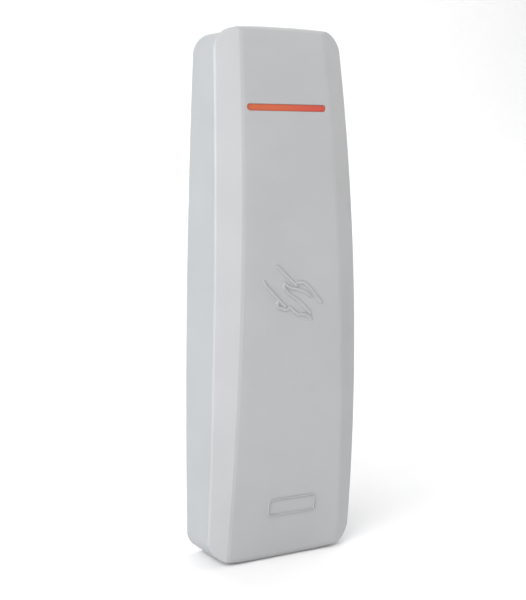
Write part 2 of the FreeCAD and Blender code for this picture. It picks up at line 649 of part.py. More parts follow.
def ring(name, inset, height_low, height_high, corner):
    """A block with the coil's outline, drawn in by inset, between two heights above the board."""
    body = new_body(name)
    sketch = sketch_on(body, name + "_sketch", "XZ_Plane", f"board_front + ({height_low})")
    rectangle(sketch, f"-(coil_half_x - ({inset}))", f"coil_half_x - ({inset})", f"coil_low + ({inset})",
              f"coil_top - ({inset})")
    pad(body, sketch, f"({height_high}) - ({height_low})")
    round_edges(body, name + "_corners", corner, lambda edge, at: edge.BoundBox.YLength > 0.1)
    return body


def make_antenna():
    """The former is a frame with a channel all round its outside; the winding fills the channel."""
    depth_in = "coil_flange + coil_width"
    outer = ring("former_outer", "0", "0", "coil_height", "coil_corner")
    inside = ring("former_inside", f"{depth_in} + coil_wall", "-1", "coil_height + 1", "1")
    channel_face = ring("channel_outer", "-3", "coil_wall", "coil_height - coil_wall", "coil_corner + 3")
    channel_core = ring("channel_inner", depth_in, "0", "coil_height", "1.2")
    channel = cut("channel", channel_face, channel_core)
    finished(cut("coil_former", outer, inside, channel), "coil_former")

    winding_face = ring("winding_outer", "coil_flange / 2", "coil_wall", "coil_height - coil_wall",
                        "coil_corner - 0.4")
    winding_core = ring("winding_inner", depth_in, "0", "coil_height", "1.2")
    finished(cut("antenna_coil", winding_face, winding_core), "antenna_coil")


# name: x, z, half width, half height, thickness, leads on a side, lead width, sides with leads
CHIPS = {
    "reader_ic": (-5.6, 12.6, 2.2, 4.4, 1.2, 7, 0.5, 2),
    "microcontroller": (5.2, 12.6, 3.5, 3.5, 1.4, 6, 0.45, 4),
    "voltage_regulator": (8.2, -1.4, 1.8, 3.3, 1.8, 3, 0.9, 2),
}
LEAD_ROOT = 0.3      # how far a lead reaches under its package
LEAD_REACH = 0.8     # and out of it
CRYSTAL_ENDS = (-4.0, 1.5)


def chip(name, x, z, half_x, half_z, height, pins, pin_span, sides):
    """A moulded chip with flat leads on two or four sides, one solid."""
    package = box(name + "_package", (f"{x - half_x}", f"{x + half_x}"),
                  forward("board_front + slack", f"board_front + {height}"),
                  (f"{z - half_z}", f"{z + half_z}"))
    leads = []
    for i in range(pins):
        for sign in (-1, 1):
            reach = sorted((sign * (half_x - LEAD_ROOT), sign * (half_x + LEAD_REACH)))
            at = z + (i - (pins - 1) / 2) * pin_span * 2
            leads.append(box(f"{name}_lead_x{sign + 1}_{i}", (f"{x + reach[0]}", f"{x + reach[1]}"),
                             forward("board_front", "board_front + lead_thickness"),
                             (f"{at - pin_span / 2}", f"{at + pin_span / 2}")))
            if sides == 4:
                reach = sorted((sign * (half_z - LEAD_ROOT), sign * (half_z + LEAD_REACH)))
                at = x + (i - (pins - 1) / 2) * pin_span * 2
                leads.append(box(f"{name}_lead_z{sign + 1}_{i}",
                                 (f"{at - pin_span / 2}", f"{at + pin_span / 2}"),
                                 forward("board_front", "board_front + lead_thickness"),
                                 (f"{z + reach[0]}", f"{z + reach[1]}")))
    return fuse(name, package, *leads)


def make_chips():
    for name, sizes in CHIPS.items():
        finished(chip(name, *sizes), name)
    ends = [rod(f"crystal_end_{i}", (str(x), "-board_front", "crystal_z"), "crystal_half", "crystal_height")
            for i, x in enumerate(CRYSTAL_ENDS)]
    left, right = (str(x) for x in CRYSTAL_ENDS)
    middle = box("crystal_middle", (left, right), forward("board_front", "board_front + crystal_height"),
                 ("crystal_z - crystal_half", "crystal_z + crystal_half"))
    flange = box("crystal_flange",
                 (f"{left} - crystal_half - flange_rim", f"{right} + crystal_half + flange_rim"),
                 forward("board_front", "board_front + flange_thickness"),
                 ("crystal_z - crystal_half - flange_rim", "crystal_z + crystal_half + flange_rim"))
    finished(fuse("crystal", middle, flange, *ends), "crystal")


# name: places on the board (x, z), half length, height
PASSIVES = {
    "chip_resistors": ([(x, 33.0 - 2.6 * i) for x in (-10.2, 10.2) for i in range(5)], 0.8, 0.5),
    "chip_capacitors": ([(-10.2, 17.5 - 2.8 * i) for i in range(4)]
                        + [(-3.0 + 3.4 * i, -4.2) for i in range(3)], 1.0, 1.1),
}
BODY_LENGTH = 0.7    # shares of the half length: the ceramic body, its width, and where an end begins
BODY_WIDTH = 0.5
END_WIDTH = 0.55
END_START = 0.6


def make_passives():
    """Two-pad chip parts in short rows, each a ceramic body with metal ends."""
    for name, (places, half, high) in PASSIVES.items():
        pieces = []
        for i, (x, z) in enumerate(places):
            middle = box(f"{name}_middle_{i}", (f"{x - half * BODY_LENGTH}", f"{x + half * BODY_LENGTH}"),
                         forward("board_front + chip_lift", f"board_front + {high} - chip_lift"),
                         (f"{z - half * BODY_WIDTH}", f"{z + half * BODY_WIDTH}"))
            ends = [box(f"{name}_end_{side}_{i}", (f"{x + low}", f"{x + top}"),
                        forward("board_front", f"board_front + {high}"),
                        (f"{z - half * END_WIDTH}", f"{z + half * END_WIDTH}"))
                    for side, low, top in (("left", -half, -half * END_START),
                                           ("right", half * END_START, half))]
            pieces.append(fuse(f"{name}_{i}", middle, *ends))
        finished(group(name, pieces), name)


def make_capacitor_cans():
    """Two aluminium cans, each on a square base with a groove pressed round it."""
    cans = []
    groove = "can_radius - can_groove"
    for i, sign in enumerate(("-", "")):
        centre = (f"{sign}can_x", "-board_front", "cable_z + can_rise")
        profile = [("0", "can_rim"), ("can_radius", "can_rim"), ("can_radius", "1.3"), (groove, "1.6"),
                   ("can_radius", "1.9"), ("can_radius", "can_height - can_rim"),
                   ("can_radius - can_rim", "can_height"), ("0", "can_height")]
        can = revolved(f"can_{i}", profile, centre, FORWARD)
        base = box(f"can_base_{i}", (f"{centre[0]} - can_base_half", f"{centre[0]} + can_base_half"),
                   forward("board_front", "board_front + can_base_height"),
                   (f"{centre[2]} - can_base_half", f"{centre[2]} + can_base_half"))
        cans.append(fuse(f"capacitor_{i}", can, base))
    finished(group("electrolytic_capacitors", cans), "electrolytic_capacitors")


def make_buzzer():
    """A round sounder: a shell with a sound hole in its front and a disc across the bottom of the hole."""
    edge = "can_rim"
    profile = [("buzzer_mouth", "0"), ("buzzer_radius", "0"), ("buzzer_radius", f"buzzer_height - {edge}"),
               (f"buzzer_radius - {edge}", "buzzer_height"), ("buzzer_mouth", "buzzer_height")]
    shell = revolved("buzzer_shell", profile, ("0", "-board_front", "buzzer_z"), FORWARD)
    disc = rod("buzzer_disc", ("0", "-board_front", "buzzer_z"), "buzzer_mouth + slack", "buzzer_disc")
    finished(fuse("buzzer", shell, disc), "buzzer")


def terminal_places():
    return [f"({i} * terminal_pitch - 2.5 * terminal_pitch)" for i in range(6)]


def make_terminals():
    """A screw terminal block: wire mouths on its upper side, screw wells on its front."""
    block = box("terminal_solid", ("-terminal_half_x", "terminal_half_x"),
                forward("board_front", "board_front + terminal_height"), ("terminal_low", "terminal_top"))
    step = box("terminal_step", ("-terminal_half_x - overlap", "terminal_half_x + overlap"),
               forward("board_front + terminal_step", "board_front + through"),
               ("terminal_top - terminal_step_z", "terminal_top + overlap"))
    holes = [step]
    screws = []
    middle = "((terminal_top + terminal_low) / 2 - terminal_screw_drop)"
    for i, x in enumerate(terminal_places()):
        holes.append(box(f"wire_mouth_{i}", (f"{x} - mouth_half", f"{x} + mouth_half"),
                         forward("board_front + mouth_rear", "board_front + mouth_front"),
                         ("terminal_top - mouth_reach", "terminal_top + overlap")))
        foot = (x, "-(board_front + clamp_rear)", middle)
        holes.append(rod(f"screw_well_{i}", foot, "terminal_screw_radius + well_gap", "through"))
        head = rod(f"clamp_head_{i}", foot, "terminal_screw_radius", "clamp_height")
        drive = box(f"clamp_slot_{i}",
                    (f"{x} - 2 * terminal_screw_radius", f"{x} + 2 * terminal_screw_radius"),
                    forward("board_front + clamp_rear + clamp_height - clamp_slot_depth",
                            "board_front + through"),
                    (f"{middle} - clamp_slot_half", f"{middle} + clamp_slot_half"))
        screws.append(cut(f"clamp_{i}", head, drive))
    finished(cut("terminal_block", block, *holes), "terminal_block")
    finished(group("terminal_screws", screws), "terminal_screws")


def make_header():
    """Two rows of three pins in a plastic base, with a jumper cap on one pair."""
    base = box("header_solid", ("-1.5 * header_pitch", "1.5 * header_pitch"),
               forward("board_front", "board_front + header_base"),
               ("header_z - header_pitch", "header_z + header_pitch"))
    pins = []
    sockets = []
    for column in (-1, 0, 1):
        for row in (-0.5, 0.5):
            x = f"({column} * header_pitch)"
            z = f"(header_z + {row} * header_pitch)"
            spans = (f"{x} - pin_half", f"{x} + pin_half"), (f"{z} - pin_half", f"{z} + pin_half")
            number_of = len(pins)
            pins.append(box(f"pin_{number_of}", spans[0], forward("board_front", "board_front + pin_height"),
                            spans[1]))
            sockets.append(box(f"pin_hole_{number_of}", spans[0],
                               forward("board_front - overlap", "board_front + through"), spans[1]))
    finished(cut("config_header", base, *sockets), "config_header")
    finished(group("header_pins", pins), "header_pins")
    cap = box("jumper_solid", ("-header_pitch - jumper_half_x", "-header_pitch + jumper_half_x"),
              forward("board_front + header_base + fit_gap", "board_front + header_base + jumper_height"),
              ("header_z - jumper_half_z", "header_z + jumper_half_z"))
    bore = "(pin_half + fit_gap)"
    holes = [box(f"jumper_hole_{i}", (f"-header_pitch - {bore}", f"-header_pitch + {bore}"),
                 forward("board_front", "board_front + pin_height + slack"),
                 (f"header_z + {row} * header_pitch - {bore}", f"header_z + {row} * header_pitch + {bore}"))
             for i, row in enumerate((-0.5, 0.5))]
    finished(cut("jumper_cap", cap, *holes), "jumper_cap")


# ---- cable, tamper contact, lock ---------------------------------------------------------------------

def make_grommet():
    """A rubber ring in the wall's cable hole, its rear flange let into the wall face."""
    rear, inner = "grommet_recess - fit_gap", "wall + fit_gap"
    profile = [("cable_radius", "grommet_sunk"), ("grommet_flange", "grommet_sunk"),
               ("grommet_flange", rear),
               ("grommet_neck - fit_gap", rear), ("grommet_neck - fit_gap", inner),
               ("grommet_lip", inner), ("grommet_lip - grommet_taper", f"{inner} + grommet_inner"),
               ("cable_radius", f"{inner} + grommet_inner")]
    finished(revolved("cable_grommet", profile, ("0", "0", "cable_z"), FORWARD), "cable_grommet")


def make_tamper_contact():
    """The wall holds the plunger in; taken off the wall, the spring pushes it out and frees the button."""
    profile = [("0", "0"), ("tamper_radius - tamper_bevel", "0"), ("tamper_radius", "tamper_bevel"),
               ("tamper_radius", "tamper_flange_rear"), ("tamper_flange", "tamper_flange_rear"),
               ("tamper_flange", "tamper_flange_front"), ("tamper_nose", "tamper_flange_front"),
               ("tamper_nose", "tamper_tip"), ("0", "tamper_tip")]
    finished(revolved("tamper_plunger", profile, ("0", "0", "tamper_z"), FORWARD), "tamper_plunger")

    case = box("switch_case", ("-switch_half", "switch_half"), forward("switch_rear", "board_rear"),
               ("tamper_z - switch_half", "tamper_z + switch_half"))
    well = rod("switch_well", ("0", "-(switch_rear - overlap)", "tamper_z"), "button_radius + button_gap",
               "overlap + well_depth")
    finished(cut("tamper_switch", case, well), "tamper_switch")
    finished(rod("tamper_button", ("0", "-button_rear", "tamper_z"), "button_radius",
                 "switch_rear - button_rear + button_hidden"), "tamper_button")

    spring = new_body("tamper_spring")
    sketch = sketch_on(spring, "spring_wire_section", "XZ_Plane")
    circle(sketch, "spring_radius", "spring_wire", "spring_wire")
    coil = spring.newObject("PartDesign::AdditiveHelix", "spring_coil")
    coil.Profile = sketch
    coil.ReferenceAxis = (sketch, ["V_Axis"])
    coil.Mode = "height-turns-angle"
    bind(coil, "Height", "board_rear - tamper_flange_front - 2 * (spring_wire + fit_gap)")
    bind(coil, "Turns", "spring_turns")
    place(spring, ("0", "-(tamper_flange_front + fit_gap)", "tamper_z"), FORWARD)
    finished(spring, "tamper_spring")


def make_lock():
    """A screw held in the housing's floor, and the square nut it lifts off the cover's tab."""
    head_low = "housing_z_low + lock_head_recess - lock_head_height - fit_gap"
    head_top = f"{head_low} + lock_head_height"
    shank = rod("lock_shank", ("0", "-lock_depth", head_low), "lock_radius", f"lock_top - ({head_low})",
                Rotation())
    head = rod("lock_head", ("0", "-lock_depth", head_low), "lock_head_radius",
               f"({head_top}) - ({head_low})", Rotation())
    socket = doc.addObject("Part::Prism", "lock_socket")
    socket.Polygon = 6
    bind(socket, "Circumradius", "socket_radius")
    bind(socket, "Height", "socket_depth + overlap")
    place(socket, ("0", "-lock_depth", f"{head_low} - overlap"))
    finished(cut("lock_screw", fuse("lock_screw_solid", shank, head), socket), "lock_screw")

    block = box("nut_block", ("-nut_half", "nut_half"),
                forward("lock_depth - nut_half", "lock_depth + nut_half"),
                (nut_low(), f"{nut_low()} + nut_height"))
    bore = rod("nut_bore", ("0", "-lock_depth", "-beyond"), "lock_radius + fit_gap", "2 * through",
               Rotation())
    finished(cut("lock_nut", block, bore), "lock_nut")


fill_sheet()
make_rear_housing()
make_front_cover()
make_light_guide()
make_lights()
make_main_board()
make_board_screws()
make_antenna()
make_chips()
make_passives()
make_capacitor_cans()
make_buzzer()
make_terminals()
make_header()
make_grommet()
make_tamper_contact()
make_lock()
doc.recompute()

failed = [item.Name for item in doc.Objects if {"Invalid", "Error"} & set(item.State)]
failed += [item.Label for item in sub_parts if item.Shape.isNull() or not item.Shape.isValid()]
if failed:
    raise SystemExit("failed: " + ", ".join(failed))
os.makedirs("parts", exist_ok=True)
for item in sub_parts:
    item.Shape.exportStep(f"parts/{item.Label}.step")
    print(item.Label, len(item.Shape.Solids), "solids", round(item.Shape.Volume, 2), "mm3")
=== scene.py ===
import math
import random

import bmesh
import bpy
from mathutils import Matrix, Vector


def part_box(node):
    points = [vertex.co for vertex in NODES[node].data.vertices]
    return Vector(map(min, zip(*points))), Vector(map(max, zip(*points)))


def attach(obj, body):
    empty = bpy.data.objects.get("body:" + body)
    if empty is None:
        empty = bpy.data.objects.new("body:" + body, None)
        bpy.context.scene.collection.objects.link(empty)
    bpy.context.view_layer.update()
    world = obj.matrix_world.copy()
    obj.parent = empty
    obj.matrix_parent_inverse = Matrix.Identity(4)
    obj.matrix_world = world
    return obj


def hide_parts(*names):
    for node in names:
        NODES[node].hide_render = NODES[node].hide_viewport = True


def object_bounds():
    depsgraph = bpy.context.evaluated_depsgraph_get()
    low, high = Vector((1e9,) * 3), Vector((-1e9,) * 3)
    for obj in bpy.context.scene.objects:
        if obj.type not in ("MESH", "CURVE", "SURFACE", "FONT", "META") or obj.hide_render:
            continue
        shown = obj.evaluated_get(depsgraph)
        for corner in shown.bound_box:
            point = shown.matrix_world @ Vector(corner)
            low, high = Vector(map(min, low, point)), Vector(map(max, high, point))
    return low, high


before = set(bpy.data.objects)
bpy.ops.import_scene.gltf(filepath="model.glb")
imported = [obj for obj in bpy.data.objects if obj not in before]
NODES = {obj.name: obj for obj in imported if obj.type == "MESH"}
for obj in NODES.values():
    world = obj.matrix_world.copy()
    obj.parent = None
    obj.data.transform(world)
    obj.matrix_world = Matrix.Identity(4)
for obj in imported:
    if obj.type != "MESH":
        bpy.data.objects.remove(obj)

CAD_BOX = [list(corner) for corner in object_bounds()]
LOW_Z = CAD_BOX[0][2]
MM = 0.001

scene = bpy.context.scene
scene.view_settings.view_transform = "Standard"


# ---- shader helpers ----------------------------------------------------------------------------------

class Shader:
    """A node material under construction. Every helper returns an output socket."""

    def __init__(self, name):
        self.material = bpy.data.materials.new(name)
        self.material.use_nodes = True
        self.tree = self.material.node_tree
        self.surface = self.tree.nodes["Principled BSDF"]
        self.coordinates = self.tree.nodes.new("ShaderNodeTexCoord").outputs["Object"]

    def node(self, kind, inputs=None, **properties):
        made = self.tree.nodes.new(kind)
        for name, value in properties.items():
            setattr(made, name, value)
        for name, value in (inputs or {}).items():
            self.feed(made.inputs[name], value)
        return made

    def feed(self, socket, value):
        if isinstance(value, bpy.types.NodeSocket):
            self.tree.links.new(value, socket)
        else:
            socket.default_value = value

    def set(self, **inputs):
        """Sets sockets of the surface shader; Base_Color means Base Color."""
        for name, value in inputs.items():
            self.feed(self.surface.inputs[name.replace("_", " ")], value)
        return self

    def noise(self, size, detail=2.0, stretch=(1, 1, 1), roughness=0.5):
        """Noise whose features are about size metres across."""
        mapping = self.node("ShaderNodeMapping", {"Vector": self.coordinates, "Scale": stretch})
        texture = self.node("ShaderNodeTexNoise", {"Vector": mapping.outputs[0], "Scale": 1 / size,
                                                   "Detail": detail, "Roughness": roughness})
        return texture.outputs["Fac"]

    def cells(self, size):
        """Distance from scattered points that are about size metres apart, as a share of size."""
        texture = self.node("ShaderNodeTexVoronoi", {"Vector": self.coordinates, "Scale": 1 / size})
        return texture.outputs["Distance"]

    def ramp(self, factor, stops):
        made = self.node("ShaderNodeValToRGB", {"Fac": factor})
        elements = made.color_ramp.elements
        while len(elements) < len(stops):
            elements.new(0.5)
        for element, (position, colour) in zip(elements, stops):
            element.position = position
            element.color = (*colour, 1.0)
        return made.outputs["Color"]

    def span(self, factor, low, high, to_low, to_high):
        made = self.node("ShaderNodeMapRange", {"Value": factor, "From Min": low, "From Max": high,
                                                "To Min": to_low, "To Max": to_high})
        return made.outputs["Result"]

    def math(self, operation, first, second=0.0):
        made = self.node("ShaderNodeMath", operation=operation)
        self.feed(made.inputs[0], first)
        self.feed(made.inputs[1], second)
        return made.outputs[0]

    def mix(self, factor, first, second):
        made = self.node("ShaderNodeMix", data_type="RGBA")
        self.feed(made.inputs["Factor"], factor)
        self.feed(made.inputs["A"], first if isinstance(first, bpy.types.NodeSocket) else (*first, 1.0))
        self.feed(made.inputs["B"], second if isinstance(second, bpy.types.NodeSocket) else (*second, 1.0))
        return made.outputs["Result"]

    def axes(self):
        """The object coordinates, one socket for each axis, in metres."""
        return self.node("ShaderNodeSeparateXYZ", {"Vector": self.coordinates}).outputs

    def bump(self, height, distance, strength=1.0, edge=None):
        """Drives the surface's normal from a height; edge rounds the corners by that radius."""
        inputs = {"Height": height, "Distance": distance, "Strength": strength}
        if edge:
            bevel = self.node("ShaderNodeBevel", {"Radius": edge}, samples=6)
            inputs["Normal"] = bevel.outputs[0]
        made = self.node("ShaderNodeBump", inputs)
        return self.set(Normal=made.outputs[0])


def shade(colour, factor):
    return tuple(min(1.0, channel * factor) for channel in colour)


def moulded_plastic(name, colour, roughness, grain=0.28 * MM, depth=0.012 * MM, edge=0.25 * MM):
    """Moulded plastic: a spark-eroded fine grain, faint flow clouds and slightly uneven gloss."""
    shader = Shader(name)
    clouds = shader.noise(22 * MM, detail=3.0)
    grains = shader.noise(grain, detail=2.0, roughness=0.6)
    tint = shader.ramp(clouds, [(0.35, shade(colour, 0.975)), (0.65, shade(colour, 1.02))])
    speckle = shader.ramp(grains, [(0.35, (0.95, 0.95, 0.95)), (0.65, (1.03, 1.03, 1.03))])
    blend = shader.node("ShaderNodeMix", data_type="RGBA", blend_type="MULTIPLY")
    blend.inputs["Factor"].default_value = 0.5
    shader.feed(blend.inputs["A"], tint)
    shader.feed(blend.inputs["B"], speckle)
    shader.set(Base_Color=blend.outputs["Result"],
               Roughness=shader.span(grains, 0.3, 0.7, roughness - 0.05, roughness + 0.06), IOR=1.5)
    return shader.bump(grains, depth, edge=edge).material


def give(node, material):
    """Puts one material on a whole CAD node."""
    mesh = NODES[node].data
    mesh.materials.clear()
    mesh.materials.append(material)


# ---- materials ---------------------------------------------------------------------------------------

# The housing's own grey, set about a tenth darker and a touch cooler than the cover grey: painted shade
# for the darker, cooler look of the housing's side under the lights.
HOUSING_GREY_WITH_PAINTED_SHADE = (0.328, 0.341, 0.353)
COVER_GREY = (0.371, 0.373, 0.379)


def dress_shells():
    give("rear_housing", moulded_plastic("housing_plastic", HOUSING_GREY_WITH_PAINTED_SHADE, 0.5, edge=0.35 * MM))
    give("front_cover", moulded_plastic("cover_plastic", COVER_GREY, 0.48, edge=0.45 * MM))


def dress_light_guide():
    """Frosted orange-red plastic lit from behind by a row of lights."""
    low, high = (Vector(corner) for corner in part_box("light_guide"))
    shader = Shader("light_plastic")
    x, _, z = shader.axes()
    along = shader.span(x, low.x, high.x, 0.0, 1.0)
    across = shader.span(z, (low.z + high.z) / 2 - 1.0 * MM, (low.z + high.z) / 2 + 1.0 * MM, -1.0, 1.0)
    # Painted glow: the bar's lit look goes into the base colour as well as the faint emission. It is
    # brightest a little left of the middle, redder and darker towards the right end, and darker red
    # towards the top and bottom edges.
    rim = shader.math("POWER", shader.math("ABSOLUTE", across), 4.0)
    glow = shader.ramp(along, [(0.0, (0.42, 0.092, 0.042)), (0.12, (0.46, 0.100, 0.042)),
                               (0.45, (0.47, 0.095, 0.042)), (0.75, (0.46, 0.070, 0.042)),
                               (1.0, (0.43, 0.062, 0.042))])
    lit = shader.mix(shader.math("MULTIPLY", rim, 0.35), glow, (0.42, 0.06, 0.04))
    frost = shader.noise(0.35 * MM, detail=2.0)
    shader.set(Base_Color=lit, Emission_Color=lit, Emission_Strength=0.12,
               Roughness=shader.span(frost, 0.3, 0.7, 0.32, 0.45))
    shader.bump(frost, 0.008 * MM)
    give("light_guide", shader.material)


def loose_parts(node):
    """(lowest corner, highest corner) of each separate solid of a CAD node, in order along x then z."""
    mesh = NODES[node].data
    parent = list(range(len(mesh.vertices)))

    def root(i):
        while parent[i] != i:
            parent[i] = parent[parent[i]]
            i = parent[i]
        return i

    places = {}
    for vertex in mesh.vertices:
        key = tuple(round(c, 7) for c in vertex.co)
        parent[vertex.index] = places.setdefault(key, vertex.index)
    for edge in mesh.edges:
        parent[root(edge.vertices[0])] = root(edge.vertices[1])
    groups = {}
    for vertex in mesh.vertices:
        groups.setdefault(root(vertex.index), []).append(NODES[node].matrix_world @ vertex.co)
    boxes = [(Vector(min(p[i] for p in points) for i in range(3)),
              Vector(max(p[i] for p in points) for i in range(3))) for points in groups.values()]
    return sorted(boxes, key=lambda corners: (round(corners[0].x, 4), round(corners[0].z, 4)))


# ---- mesh helpers ------------------------------------------------------------------------------------

FORWARD = Vector((0, -1, 0))
BEVEL_SEGMENTS = 2
BEVELLED_ABOVE = math.radians(35)
SHARP_ABOVE = math.radians(40)

class Piece:
    """A mesh made of several bevelled shapes, each with one of the piece's materials."""

    def __init__(self, name, *materials):
        self.name = name
        self.materials = materials
        self.mesh = bmesh.new()

    def _finish(self, vertices, bevel, material):
        """Colours and bevels what was just added."""
        faces = list(dict.fromkeys(face for vertex in vertices for face in vertex.link_faces))
        for face in faces:
            face.material_index = material
            face.smooth = False
        if bevel:
            edges = list(dict.fromkeys(
                edge for face in faces for edge in face.edges
                if len(edge.link_faces) == 2 and edge.calc_face_angle() > BEVELLED_ABOVE))
            bmesh.ops.bevel(self.mesh, geom=edges, offset=bevel, segments=BEVEL_SEGMENTS,
                            affect="EDGES", profile=0.5, material=material)

    def block(self, low, high, bevel=0.0, material=0):
        """A box between two corners."""
        low, high = Vector(low), Vector(high)
        made = bmesh.ops.create_cube(self.mesh, size=1.0)
        for vertex in made["verts"]:
            vertex.co = Vector(low[i] + (vertex.co[i] + 0.5) * (high[i] - low[i]) for i in range(3))
        self._finish(made["verts"], bevel, material)

    def lathe(self, centre, profile, steps=32, material=0):
        """A profile of (radius, distance forward of centre) turned about a front-to-back axis."""
        turn = Vector((0, 0, 1)).rotation_difference(FORWARD)
        rings = []
        for radius, along in profile:
            ring = []
            for i in range(steps if radius > 0 else 1):
                angle = 2 * math.pi * i / steps
                spot = Vector((radius * math.cos(angle), radius * math.sin(angle), along))
                ring.append(self.mesh.verts.new(Vector(centre) + turn @ spot))
            rings.append(ring)
        for lower, upper in zip(rings, rings[1:]):
            for i in range(steps):
                quad = [lower[i % len(lower)], lower[(i + 1) % len(lower)],
                        upper[(i + 1) % len(upper)], upper[i % len(upper)]]
                corners = list(dict.fromkeys(quad))
                if len(corners) > 2:
                    face = self.mesh.faces.new(corners)
                    face.material_index = material
                    face.smooth = True

    def _sort(self):
        """Puts corners and faces in order of place, so that their order is the same in every run."""
        corners = sorted(self.mesh.verts, key=lambda vertex: tuple(vertex.co))
        faces = sorted(self.mesh.faces, key=lambda face: (*face.calc_center_median(), face.calc_area()))
        for elements, ordered in ((self.mesh.verts, corners), (self.mesh.faces, faces)):
            rank = {element: i for i, element in enumerate(ordered)}
            elements.sort(key=rank.get)

    def done(self, body, *nodes, slot):
        """Adds the piece to the scene, riding on body and standing for the CAD nodes."""
        self._sort()
        data = bpy.data.meshes.new(self.name)
        self.mesh.to_mesh(data)
        self.mesh.free()
        for material in self.materials:
            data.materials.append(material)
        made = bpy.data.objects.new(self.name, data)
        scene.collection.objects.link(made)
        split = made.modifiers.new("sharp_edges", "EDGE_SPLIT")
        split.split_angle = SHARP_ABOVE
        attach(made, body)
        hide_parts(*nodes)


def metal(name, colour, roughness, brush=0.3 * MM, stretch=(1, 1, 1), edge=0.06 * MM):
    """Bright metal with fine brush marks, patchy gloss and rounded edges."""
    shader = Shader(name)
    marks = shader.noise(brush, detail=4.0, stretch=stretch)
    patches = shader.noise(brush * 9, detail=2.0)
    gloss = shader.span(patches, 0.3, 0.7, roughness - 0.06, roughness + 0.10)
    shader.set(Metallic=1.0, Roughness=gloss,
               Base_Color=shader.ramp(marks, [(0.3, shade(colour, 0.86)), (0.7, shade(colour, 1.08))]))
    shader.bump(marks, 0.003 * MM, edge=edge)
    return shader.material


def board_material():
    """Green solder mask over copper tracks, with plated holes, and bare laminate on the cut edges."""
    track_pitch, track_share, via_pitch, via_share = 0.9 * MM, 0.42, 2.6 * MM, 0.12
    shader = Shader("board_laminate")
    x, _, z = shader.axes()
    area = shader.noise(9 * MM, detail=0.0)
    tracks = []
    for axis in (x, z):
        wave = shader.math("FRACT", shader.math("MULTIPLY", axis, 1 / track_pitch))
        tracks.append(shader.math("LESS_THAN", wave, track_share))
    choice = shader.math("GREATER_THAN", area, 0.5)
    track = shader.math("ADD", shader.math("MULTIPLY", tracks[0], choice),
                        shader.math("MULTIPLY", tracks[1], shader.math("SUBTRACT", 1.0, choice)))
    pour = shader.math("GREATER_THAN", shader.noise(6 * MM, detail=1.0), 0.56)
    copper = shader.math("MAXIMUM", track, pour)
    vias = shader.math("LESS_THAN", shader.cells(via_pitch), via_share)
    mask = shader.mix(copper, (0.010, 0.072, 0.032), (0.018, 0.135, 0.052))
    mask = shader.mix(vias, mask, (0.55, 0.50, 0.38))
    normal = shader.node("ShaderNodeTexCoord").outputs["Normal"]
    facing = shader.math("ABSOLUTE", shader.node("ShaderNodeSeparateXYZ", {"Vector": normal}).outputs["Y"])
    edge = shader.math("LESS_THAN", facing, 0.5)
    fibre = shader.noise(0.25 * MM, detail=3.0, stretch=(1, 4, 1))
    laminate = shader.ramp(fibre, [(0.3, (0.30, 0.27, 0.13)), (0.7, (0.42, 0.38, 0.20))])
    shader.set(Base_Color=shader.mix(edge, mask, laminate),
               Roughness=shader.span(fibre, 0.3, 0.7, 0.24, 0.36))
    height = shader.math("ADD", copper, shader.math("MULTIPLY", fibre, 0.3))
    shader.bump(height, 0.02 * MM, edge=0.05 * MM)
    return shader.material


def coil_material():
    """Enamelled copper wire wound in tight layers along the coil's depth, with painted shade in the
    grooves between the turns.
    """
    wire_pitch = 0.28 * MM
    shader = Shader("copper_wire")
    _, y, _ = shader.axes()
    turn = shader.math("FRACT", shader.math("MULTIPLY", y, 1 / wire_pitch))
    round_wire = shader.math("POWER", shader.math("SINE", shader.math("MULTIPLY", turn, math.pi)), 0.5)
    tone = shader.noise(3 * MM, detail=2.0)
    colour = shader.ramp(tone, [(0.3, (0.46, 0.16, 0.05)), (0.7, (0.62, 0.25, 0.09))])
    # Painted shade: the colour darkens to deep brown in the grooves between neighbouring turns, where
    # round_wire falls to nothing.
    shader.set(Base_Color=shader.mix(round_wire, (0.10, 0.03, 0.012), colour), Metallic=0.85,
               Roughness=shader.span(tone, 0.3, 0.7, 0.26, 0.40))
    shader.bump(round_wire, 0.10 * MM)
    return shader.material


def package_material(name, low, high, pin_reach):
    """A moulded chip package whose legs, the outermost pin_reach on either side, are tinned."""
    shader = Shader(name)
    x, _, _ = shader.axes()
    middle, half = (low.x + high.x) / 2, (high.x - low.x) / 2
    outward = shader.math("ABSOLUTE", shader.math("SUBTRACT", x, middle))
    leg = shader.math("GREATER_THAN", outward, half - pin_reach)
    grain = shader.noise(0.12 * MM, detail=2.0)
    resin = shader.ramp(grain, [(0.35, (0.016, 0.016, 0.018)), (0.65, (0.030, 0.030, 0.032))])
    shader.set(Base_Color=shader.mix(leg, resin, (0.60, 0.60, 0.58)), Metallic=leg,
               Roughness=shader.mix(leg, (0.55, 0.55, 0.55), (0.28, 0.28, 0.28)))
    shader.bump(grain, 0.008 * MM, edge=0.06 * MM)
    return shader.material


PLAIN_PLASTICS = {    # node: colour, roughness
    "led_baffle": ((0.70, 0.70, 0.68), 0.5), "coil_former": ((0.66, 0.65, 0.60), 0.45),
    "config_header": ((0.02, 0.02, 0.02), 0.45), "jumper_cap": ((0.02, 0.02, 0.022), 0.4),
    "tamper_switch": ((0.025, 0.025, 0.026), 0.45), "terminal_block": ((0.025, 0.17, 0.075), 0.42),
    "tamper_plunger": ((0.66, 0.65, 0.60), 0.35), "tamper_button": ((0.50, 0.07, 0.045), 0.4),
}
METALS = {    # node: colour, roughness
    "lock_nut": ((0.62, 0.61, 0.57), 0.30), "lock_screw": ((0.60, 0.60, 0.59), 0.28),
    "tamper_spring": ((0.58, 0.57, 0.55), 0.30), "header_pins": ((0.72, 0.60, 0.34), 0.28),
    "crystal": ((0.68, 0.68, 0.67), 0.24), "board_screws": ((0.60, 0.60, 0.59), 0.30),
}


CHIP_PACKAGES = ("reader_ic", "microcontroller", "voltage_regulator")
PIN_REACH = 0.6 * MM


